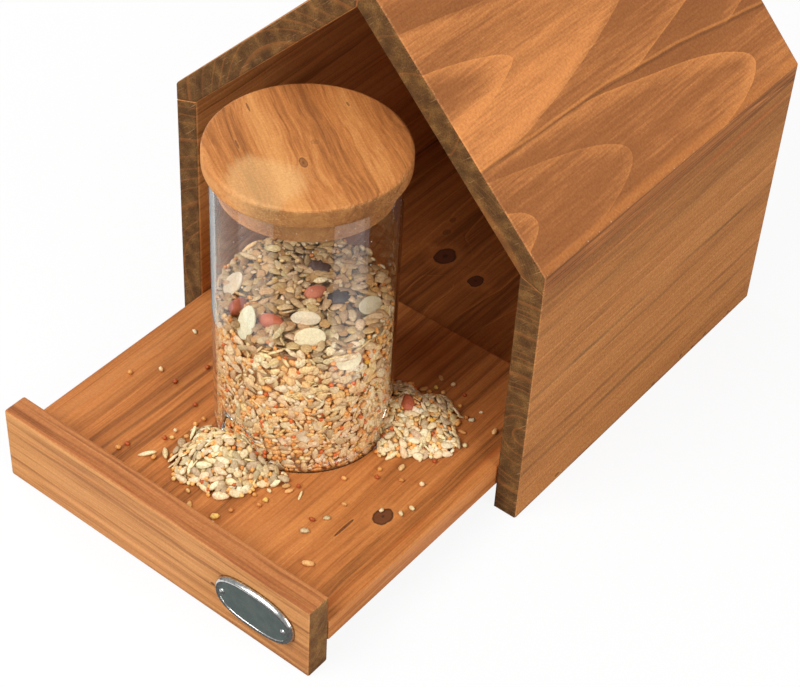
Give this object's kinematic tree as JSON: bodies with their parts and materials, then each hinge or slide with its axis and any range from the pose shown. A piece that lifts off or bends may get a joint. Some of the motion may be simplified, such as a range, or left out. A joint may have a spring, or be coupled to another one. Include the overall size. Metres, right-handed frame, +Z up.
{
  "type": "bird feeder",
  "caption": "Wooden gabled bird feeder house with a pull-out tray that carries a glass seed silo under a wooden lid.",
  "frame": {"origin": "middle of the house's underside", "axes": "+Z up, the open front faces -Y, +X to the right as seen from the front"},
  "size_m": [0.2, 0.3297, 0.241],
  "materials": {
    "house_wood": "stained softwood, satin",
    "tray_wood": "stained softwood, satin",
    "lid_wood": "stained softwood, satin",
    "dowel_wood": "bare",
    "silo_glass": "clear",
    "badge_metal": "polished",
    "pin_metal": "polished",
    "seed": "loose mixed grains, matte"
  },
  "bodies": {
    "house": {"left_wall": "house_wood", "right_wall": "house_wood", "left_roof": "house_wood", "right_roof": "house_wood", "back_wall": "house_wood", "floor_board": "house_wood", "eave_dowels": "dowel_wood", "ridge_dowels": "dowel_wood", "back_dowels": "dowel_wood", "floor_dowels": "dowel_wood"},
    "tray": {"tray_board": "tray_wood", "tray_front": "tray_wood", "tray_dowels": "dowel_wood", "badge_plate": "badge_metal", "badge_pins": "pin_metal", "seed_fill": "seed", "seed_heaps": "seed"},
    "silo": {"glass_silo": "silo_glass"},
    "lid": {"lid_disc": "lid_wood", "lid_plug": "lid_wood"}
  },
  "joints": [
    {"name": "tray_slide", "type": "slide", "parent": "house", "child": "tray", "axis": [0, -1, 0], "range_m": [-0.1265, 0.045]},
    {"name": "silo_lift", "type": "slide", "parent": "tray", "child": "silo", "axis": [0, 0, 1], "range_m": [0, 0.0035]},
    {"name": "lid_lift", "type": "slide", "parent": "silo", "child": "lid", "axis": [0, 0, 1], "range_m": [0, 0.005]}
  ]
}
